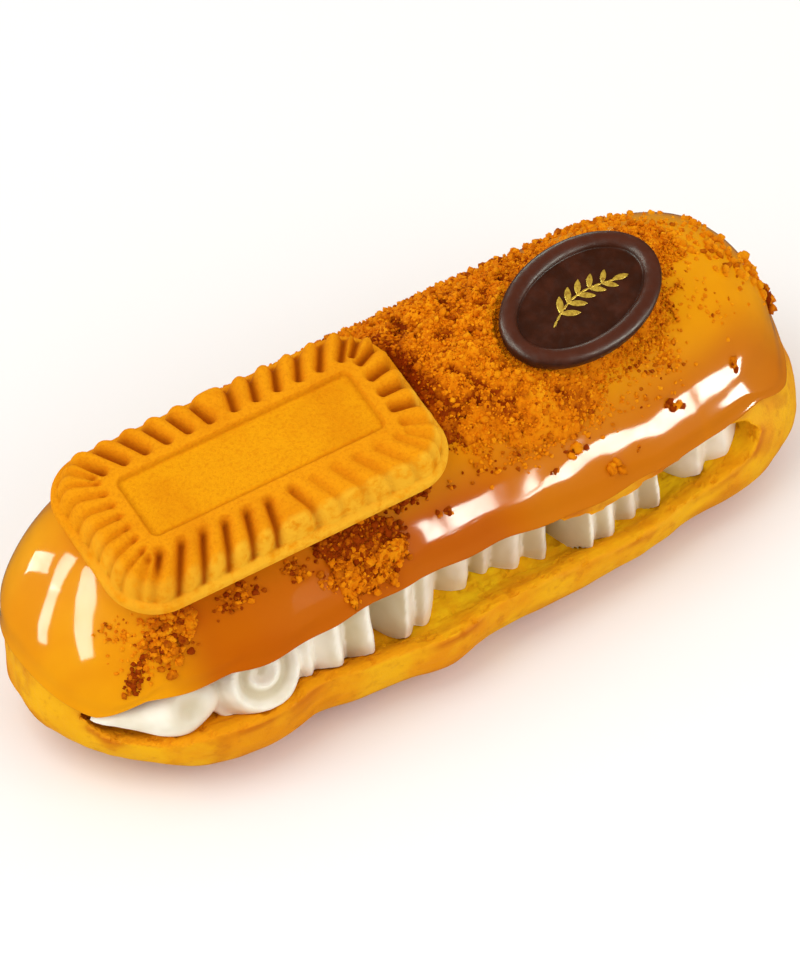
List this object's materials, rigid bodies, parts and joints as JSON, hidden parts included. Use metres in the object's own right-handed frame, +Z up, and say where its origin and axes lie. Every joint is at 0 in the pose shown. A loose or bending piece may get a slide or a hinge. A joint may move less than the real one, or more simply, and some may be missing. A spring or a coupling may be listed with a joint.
{
  "type": "filled eclair",
  "caption": "Long choux bun slit along its front, filled with piped cream, coated with caramel icing and topped with a fluted biscuit, biscuit crumbs and an oval chocolate plaque.",
  "frame": {"origin": "centre of the bounding box, on the surface that the eclair stands on", "axes": "+X along the eclair towards the plaque, -Y towards the slit side, +Z up"},
  "size_m": [0.1452, 0.0554, 0.0497],
  "materials": {
    "choux": "baked golden choux pastry, satin",
    "cream": "whipped cream, soft sheen",
    "icing": "glossy set caramel icing",
    "biscuit": "matte fine-grained baked biscuit",
    "chocolate": "satin dark chocolate",
    "crumbs": "matte biscuit crumbs"
  },
  "bodies": {
    "root": {"choux": "choux", "cream": "cream", "icing": "icing", "biscuit": "biscuit", "plaque": "chocolate", "crumb_bed": "crumbs", "crumb_spill": "crumbs"}
  },
  "joints": []
}
